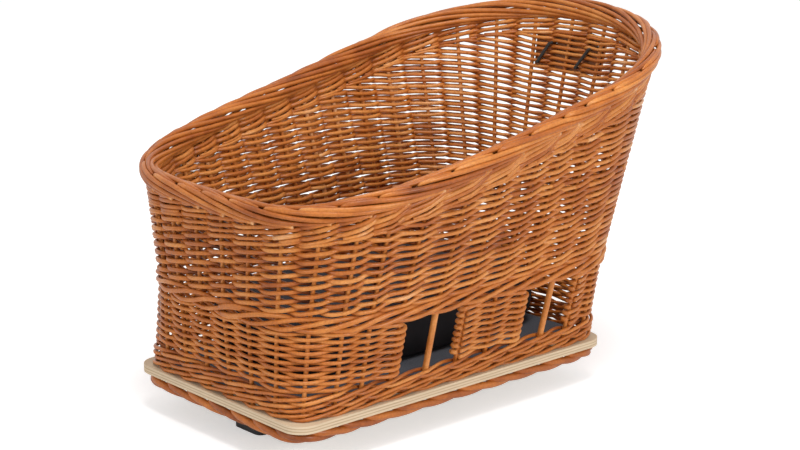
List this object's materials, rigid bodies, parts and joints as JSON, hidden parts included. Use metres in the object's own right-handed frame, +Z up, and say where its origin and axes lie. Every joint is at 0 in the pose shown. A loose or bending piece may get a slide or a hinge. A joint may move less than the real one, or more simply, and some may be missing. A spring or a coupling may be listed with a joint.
{
  "type": "dog bicycle basket",
  "caption": "Woven willow dog basket with a high back, low side windows, a plywood board, a cushion and a rail for a bicycle rack.",
  "frame": {"origin": "middle of the rack rail's underside, the face that sits on the bicycle's rack", "axes": "+X along the basket from the low front to the high back, +Y to the side without windows, +Z up"},
  "size_m": [0.5454, 0.3834, 0.3796],
  "materials": {
    "willow": "peeled and boiled willow rods, woven, satin",
    "willow_stake": "thicker willow rods, satin",
    "board": "pale plywood, sanded, plies showing at the edge",
    "felt": "thin blue-grey felt",
    "cushion_cloth": "black woven cloth over foam",
    "patch_leather": "plain brown leather",
    "tie_leather": "black leather thong",
    "rail_plastic": "black moulded plastic, fine grain",
    "screw_steel": "zinc-plated steel"
  },
  "bodies": {
    "basket": {"base_board": "board", "foot_border": "willow", "base_weave": "willow", "lower_weave": "willow", "lower_weave_between_windows": "willow", "ledge_band": "willow", "upper_weave": "willow", "rim_border": "willow", "stake_01": "willow_stake", "stake_02": "willow_stake", "stake_03": "willow_stake", "stake_04": "willow_stake", "stake_05": "willow_stake", "stake_06": "willow_stake", "stake_07": "willow_stake", "stake_09": "willow_stake", "stake_10": "willow_stake", "stake_11": "willow_stake", "stake_13": "willow_stake", "stake_14": "willow_stake", "stake_15": "willow_stake", "stake_16": "willow_stake", "stake_17": "willow_stake", "stake_18": "willow_stake", "stake_19": "willow_stake", "stake_20": "willow_stake", "stake_21": "willow_stake", "stake_22": "willow_stake", "stake_23": "willow_stake", "stake_24": "willow_stake", "stake_25": "willow_stake", "stake_26": "willow_stake", "stake_27": "willow_stake", "stake_28": "willow_stake", "stake_29": "willow_stake", "stake_30": "willow_stake", "stake_31": "willow_stake", "stake_32": "willow_stake", "stake_33": "willow_stake", "stake_34": "willow_stake", "stake_35": "willow_stake", "stake_36": "willow_stake", "window_stick_1": "willow_stake", "window_stick_2": "willow_stake", "floor_mat": "felt", "seat_cushion": "cushion_cloth", "back_patch": "patch_leather", "patch_tie_1": "tie_leather", "patch_tie_2": "tie_leather", "rack_rail": "rail_plastic", "rail_screw_1": "screw_steel", "rail_screw_2": "screw_steel", "rail_screw_3": "screw_steel", "rail_screw_4": "screw_steel", "catch_pin": "screw_steel"},
    "catch": {"catch_lever": "rail_plastic"}
  },
  "joints": [
    {"name": "catch_release", "type": "hinge", "parent": "basket", "child": "catch", "pos_m": [0.153, 0, 0.023], "axis": [0, -1, 0], "range_deg": [0, 25], "stiffness_Nm_per_rad": 0.05, "springref_deg": -11.46}
  ]
}
